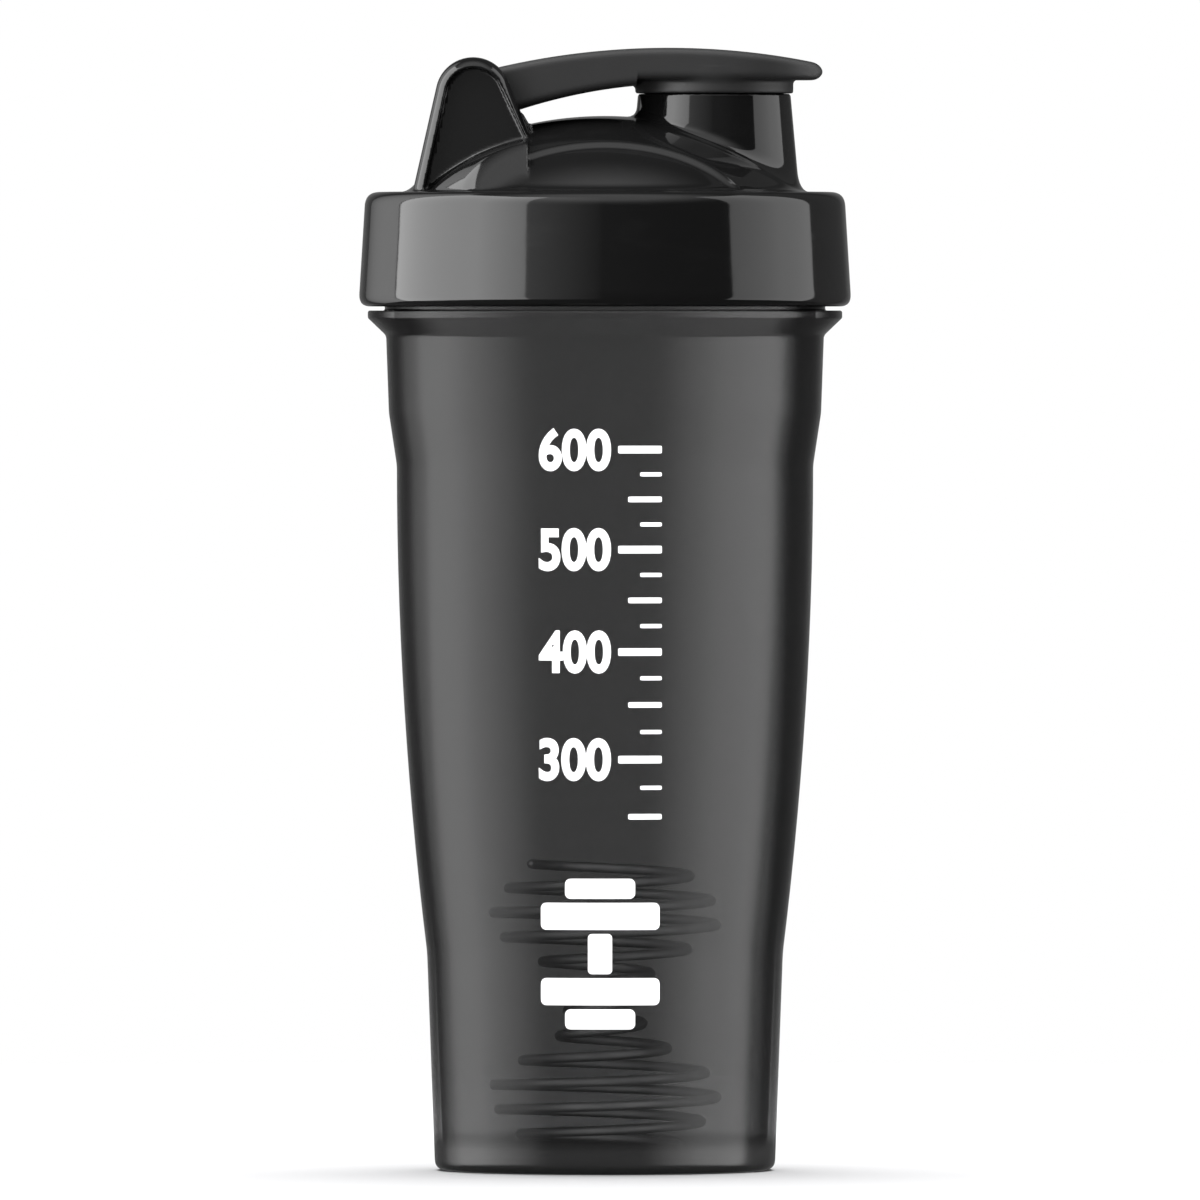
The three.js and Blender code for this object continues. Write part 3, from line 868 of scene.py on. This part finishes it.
def make_spout_seal(material):
    """The soft seal: a boss pressed into the cap, a flange and a plug ring with a lead-in."""
    low, high = SEAL_LOW[2], SEAL_HIGH[2]
    flange_low, flange_high = 217.8, 218.9
    corners = [
        (0, flange_low, 0),
        (9.5, flange_low, 0.5),
        (9.5, low, 0.4),
        (10.9, low, 0.5),
        (11.25, low + 1, 0.6),
        (11.25, flange_low, 0.3),
        (13.8, flange_low, 0.4),
        (13.8, flange_high, 0.4),
        (9.7, flange_high, 0.3),
        (9.7, high, 0.5),
        (0, high, 0),
    ]
    mesh = lathe_mesh("spout_seal", filleted(corners), 128, SPOUT_X)
    smooth_below(mesh, 40)
    return link("cap_seal", mesh, material, "cap", "spout_seal", slot="silicone")


def make_lid_gasket(material):
    """A flat ring with rounded edges and two sealing beads on its underside."""
    low, high = GASKET_LOW[2], GASKET_HIGH[2]
    inner, outer = 41.9, GASKET_HIGH[0]
    corners = [(inner, high, 0.4), (inner, low + 0.3, 0.3)]
    for share in (0.33, 0.67):
        middle = inner + (outer - inner) * share
        corners += [(middle - 0.7, low + 0.3, 0.2), (middle, low, 0.4)]
        corners += [(middle + 0.7, low + 0.3, 0.2)]
    corners += [(outer, low + 0.3, 0.3), (outer, high, 0.4)]
    mesh = lathe_mesh("lid_gasket", filleted(corners), 192, closed=True)
    smooth_below(mesh, 40)
    return link("lid_seal", mesh, material, "gasket", "lid_gasket", slot="silicone")


def smooth_step(value, low, high):
    share = np.clip((value - low) / (high - low), 0, 1)
    return share * share * (3 - 2 * share)


WIRE_RADIUS = 1.0
COIL = {"turns": 11.5, "waist": 7.5, "bulge": 14.9, "tuck": 9.4}


def mixer_path(samples=900):
    """The centreline of the mixer's wire: an hourglass helix with its two ends turned inwards."""
    along = np.linspace(0, 1, samples)
    height = 2 * along - 1
    out = np.abs(height)
    bulge = COIL["bulge"] * smooth_step(out, 0.12, 0.6)
    radius = COIL["waist"] + bulge - COIL["tuck"] * smooth_step(out, 0.62, 1.15)
    angle = 2 * math.pi * COIL["turns"] * along
    middle = (MIXER_LOW[2] + MIXER_HIGH[2]) / 2
    reach = (MIXER_HIGH[2] - MIXER_LOW[2]) / 2 - WIRE_RADIUS
    return np.stack([radius * np.cos(angle), radius * np.sin(angle), middle + reach * height], 1)


def make_coil_mixer(material):
    """The loose mixer: one round wire swept along its path, with domed ends."""
    curve = bpy.data.curves.new("coil_mixer", "CURVE")
    curve.dimensions = "3D"
    curve.bevel_depth = WIRE_RADIUS * MM
    curve.bevel_resolution = 5
    curve.use_fill_caps = True
    path = mixer_path() * MM
    spline = curve.splines.new("POLY")
    spline.points.add(len(path) - 1)
    for point, spot in zip(spline.points, path):
        point.co = (*spot, 1)
    for back, size in ((0, 0.35), (1, 0.75), (2, 0.95)):
        spline.points[back].radius = size
        spline.points[-1 - back].radius = size
    holder = bpy.data.objects.new("coil", curve)
    bpy.context.scene.collection.objects.link(holder)
    mesh = finished_mesh(holder)
    mesh.name = "coil_mixer"
    mesh.shade_smooth()
    return link("wire_mixer", mesh, material, "mixer", "coil_mixer", slot="stainless_wire")


# ---- the printed scale ----

PRINT_THICKNESS = 0.05
PRINT_LIFT = 0.03
PRINT_BOLDNESS = 0.034
# The print is sliced across and up the cup at these spacings, between these places.
PRINT_SLICES = ((0, 0.8, -16, 16), (1, 2.5, 20, 160))
# Each plate of the dumbbell sign: its lower and upper edge and half its width.
DUMBBELL = ((29, 33, 7), (33.8, 39.2, 12), (48.8, 54.2, 12), (55, 59, 7))
DUMBBELL_MIDDLE = -1.0


def flat_text(built, words, left, right, middle, height):
    """Adds flat letters of a given height to a mesh, stretched to run from left to right."""
    curve = bpy.data.curves.new("words", "FONT")
    curve.body = words
    curve.offset = PRINT_BOLDNESS
    curve.resolution_u = 6
    holder = bpy.data.objects.new("words", curve)
    bpy.context.scene.collection.objects.link(holder)
    mesh = finished_mesh(holder)
    spots = np.array([v.co[:2] for v in mesh.vertices])
    low, high = spots.min(0), spots.max(0)
    scale = np.array([right - left, height]) / (high - low)
    for vertex, spot in zip(mesh.vertices, spots):
        u, v = (spot - low) * scale
        vertex.co = (left + u, middle - height / 2 + v, 0)
    built.from_mesh(mesh)


def flat_bar(built, left, right, low, high, corner=0.3, steps=5):
    """Adds a flat bar with rounded corners."""
    corner = min(corner, (right - left) / 2, (high - low) / 2)
    spots = []
    centres = (
        (right - corner, low + corner, -90),
        (right - corner, high - corner, 0),
        (left + corner, high - corner, 90),
        (left + corner, low + corner, 180),
    )
    for u, v, start in centres:
        for k in range(steps + 1):
            turn = math.radians(start + 90 * k / steps)
            spots.append((u + corner * math.cos(turn), v + corner * math.sin(turn), 0))
    built.faces.new([built.verts.new(s) for s in spots])


def wrap_on_cup(built):
    """Slices flat shapes finely, thickens them and lays them on the front of the cup."""
    for axis, spacing, low, high in PRINT_SLICES:
        normal = (1, 0, 0) if axis == 0 else (0, 1, 0)
        for place in np.arange(low, high, spacing):
            spot = [0, 0, 0]
            spot[axis] = place
            parts = built.verts[:] + built.edges[:] + built.faces[:]
            bmesh.ops.bisect_plane(built, geom=parts, dist=1e-5, plane_co=spot, plane_no=normal)
    bmesh.ops.triangulate(built, faces=built.faces[:])
    raised = bmesh.ops.extrude_face_region(built, geom=built.faces[:])["geom"]
    for vertex in (g for g in raised if isinstance(g, bmesh.types.BMVert)):
        vertex.co.z = PRINT_THICKNESS
    for vertex in built.verts:
        u, height, rise = vertex.co
        radius = float(cup_radius(height)) + PRINT_LIFT + rise
        turn = u / float(cup_radius(height))
        vertex.co = (radius * math.sin(turn) * MM, -radius * math.cos(turn) * MM, height * MM)
    bmesh.ops.recalc_face_normals(built, faces=built.faces)


def make_printed_scale(material):
    """A filling scale in millilitres, with a dumbbell sign below it."""
    built = bmesh.new()
    for amount in range(250, 601, 25):
        height = cup_volume_height(amount)
        if amount % 100 == 0:
            flat_bar(built, 2.6, 11.4, height - 0.75, height + 0.75)
            flat_text(built, str(amount), -13.4, 1.2, height, 8.6)
        elif amount % 50 == 0:
            flat_bar(built, 4.6, 11.4, height - 0.55, height + 0.55)
        else:
            flat_bar(built, 7.0, 11.4, height - 0.4, height + 0.4)
    for low, high, half in DUMBBELL:
        flat_bar(built, DUMBBELL_MIDDLE - half, DUMBBELL_MIDDLE + half, low, high, 1.1)
    flat_bar(built, DUMBBELL_MIDDLE - 2.4, DUMBBELL_MIDDLE + 2.4, 40, 48, 0.8)
    wrap_on_cup(built)
    mesh = bpy.data.meshes.new("printed_scale")
    built.to_mesh(mesh)
    built.free()
    return link("printed_scale", mesh, material, "cup")


# ---- the studio ----

# Each softbox: its name, the compass points where it starts and ends, and how bright it is there.
LID_SOFTBOXES = (
    ("lid_front_glow", -2, -37, 0.05, 0.75),
    ("lid_left_inner", -37, -62, 3.0, 4.8),
    ("lid_left_outer", -62, -114, 4.8, 4.4),
    ("lid_left_back", -115, -150, 1.7, 0.2),
    ("lid_right_inner", 61, 90, 1.5, 2.0),
    ("lid_right_outer", 90, 114, 2.0, 1.7),
    ("lid_right_back", 115, 150, 0.12, 0.04),
)
CUP_SOFTBOXES = (
    ("cup_left_inner", -40, -66, 0.0, 1.1),
    ("cup_left_middle", -66, -92, 1.1, 2.0),
    ("cup_left_outer", -92, -116, 2.0, 1.5),
    ("cup_left_back", -116, -134, 1.05, 0.25),
    ("cup_right_inner", 30, 66, 0.1, 1.6),
    ("cup_right_outer", 66, 108, 1.6, 1.8),
)


def make_floor():
    """A round table top just under the foot. Its sizes are metres, like all in the studio."""
    built = bmesh.new()
    radius, rings, flats = 0.8, 40, 96
    middle = built.verts.new((0, 0, 0))
    last = None
    for ring in range(1, rings + 1):
        reach = radius * ring / rings
        spots = []
        for k in range(flats):
            turn = 2 * math.pi * k / flats
            spots.append(built.verts.new((reach * math.cos(turn), reach * math.sin(turn), 0)))
        for k in range(flats):
            after = (k + 1) % flats
            if last:
                built.faces.new((last[k], spots[k], spots[after], last[after]))
            else:
                built.faces.new((middle, spots[k], spots[after]))
        last = spots
    mesh = bpy.data.meshes.new("table_top")
    built.to_mesh(mesh)
    built.free()
    mesh.materials.append(pale_floor())
    floor = bpy.data.objects.new("table_top", mesh)
    floor.location.z = cad_low.z - 0.00005
    floor.visible_glossy = False
    bpy.context.scene.collection.objects.link(floor)
    return floor


def lit_group(name, *pieces):
    """The pieces that some lights are for."""
    group = bpy.data.collections.new(name)
    for piece in pieces:
        group.objects.link(piece)
    return group


def hang_light(name, light, place, towards, group, glossy=True, blockers=None):
    """Puts a light in the studio for one group of pieces. With blockers, only those pieces cast
    shadows in it."""
    lamp = bpy.data.objects.new(name, light)
    lamp.location = place
    turn = (Vector(towards) - Vector(place)).to_track_quat("-Z", "Y")
    lamp.rotation_euler = turn.to_euler()
    lamp.visible_camera = False
    lamp.visible_glossy = glossy
    lamp.light_linking.receiver_collection = group
    if blockers:
        lamp.light_linking.blocker_collection = blockers
    bpy.context.scene.collection.objects.link(lamp)
    return turn


def make_softbox(name, start, end, bright_start, bright_end, group, clear_view=False):
    """A flat upright light between two compass points (degrees from the front, 1 m away), whose
    brightness runs evenly from one upright edge to the other."""
    height, bottom = 1.9, -0.3
    first, last = (
        Vector((math.sin(math.radians(a)), -math.cos(math.radians(a)), 0)) for a in (start, end)
    )
    light = bpy.data.lights.new(name, "AREA")
    light.shape = "RECTANGLE"
    light.size = (last - first).length
    light.size_y = height
    light.energy = math.pi * light.size * height
    level = Vector((0, 0, bottom + height / 2))
    blockers = group if clear_view else None
    turn = hang_light(name, light, (first + last) / 2 + level, level, group, True, blockers)
    if (turn @ Vector((1, 0, 0))).dot(last - first) < 0:
        bright_start, bright_end = bright_end, bright_start
    light.use_nodes = True
    nodes = Nodes(light.node_tree)
    across = nodes.part(nodes.node("ShaderNodeNewGeometry", output="Parametric"), "X")
    strength = nodes.band(across, 0.0, 1.0, bright_start, bright_end)
    glow = nodes.node("ShaderNodeEmission", None, {"Strength": strength})
    nodes.node("ShaderNodeOutputLight", None, {"Surface": glow})


def make_round_light(name, place, size, power, group):
    """A round light that looks at the bottle and leaves no highlight."""
    light = bpy.data.lights.new(name, "AREA")
    light.shape = "DISK"
    light.size = size
    light.energy = power
    hang_light(name, light, place, (0, 0, 0), group, glossy=False)


def make_backdrop():
    """White all round where the camera looks. Where it only lights the bottle it is dim, with a
    bright patch overhead and a faint one straight behind."""
    world = bpy.data.worlds.new("studio")
    world.use_nodes = True
    nodes = Nodes(world.node_tree)
    where = nodes.node("ShaderNodeTexCoord", output="Generated")
    patch = {0: where, 1: (0, -0.5, 0.866)}
    overhead = nodes.node("ShaderNodeVectorMath", {"operation": "DOT_PRODUCT"}, patch, "Value")
    behind = nodes.band(nodes.part(where, "Y"), 0.86, 1.0, 0.0, 0.15)
    lit = 0.05 + nodes.band(overhead, 0.55, 0.92) ** 2 * 1.05 + behind
    white = (1, 1, 1, 1)
    glow = nodes.node("ShaderNodeBackground", None, {"Color": white, "Strength": lit})
    shown = nodes.node("ShaderNodeBackground", None, {"Color": white, "Strength": 1.0})
    seen = nodes.node("ShaderNodeLightPath", output="Is Camera Ray")
    chosen = nodes.node("ShaderNodeMixShader", None, {0: seen, 1: glow, 2: shown})
    nodes.node("ShaderNodeOutputWorld", None, {"Surface": chosen})
    bpy.context.scene.world = world


def make_camera():
    """A long lens, level with the collar, far enough away to keep upright lines upright."""
    distance, height, view_width = 5.5, 0.172, 0.240
    data = bpy.data.cameras.new("camera")
    data.lens = data.sensor_width * distance / view_width
    camera = bpy.data.objects.new("camera", data)
    target = Vector((-0.001, 0, 0.114))
    camera.location = (target.x, -distance, height)
    camera.rotation_euler = (target - camera.location).to_track_quat("-Z", "Y").to_euler()
    bpy.context.scene.collection.objects.link(camera)
    bpy.context.scene.camera = camera


gloss = gloss_black_plastic()
soft = silicone()
cup = make_cup(smoked_plastic())
lid = make_screw_lid(gloss)
cap = make_flip_cap(satin_black_plastic())
cap_seal = make_spout_seal(soft)
lid_seal = make_lid_gasket(soft)
mixer = make_coil_mixer(stainless_wire())
scale = make_printed_scale(white_ink())
floor = make_floor()

lid_group = lit_group("lit_lid", lid, cap, cap_seal, lid_seal)
for softbox in LID_SOFTBOXES:
    make_softbox(*softbox, lid_group)

cup_group = lit_group("lit_cup", cup)
for softbox in CUP_SOFTBOXES:
    make_softbox(*softbox, cup_group)

mixer_group = lit_group("lit_mixer", mixer)
make_softbox("mixer_front", -70, 70, 1.0, 1.0, mixer_group, clear_view=True)
print_group = lit_group("lit_print", scale)
make_softbox("print_front", -50, 50, 3.0, 3.0, print_group)
bottle_group = lit_group("lit_bottle", cup, lid, cap, cap_seal, lid_seal, mixer)
make_round_light("top_light", (0, -0.2, 1.5), 1.6, 30, bottle_group)
make_round_light("floor_light", (0, 0.35, 1.5), 1.4, 32, lit_group("lit_floor", floor))
make_backdrop()
make_camera()
bpy.context.scene.view_settings.view_transform = "Standard"
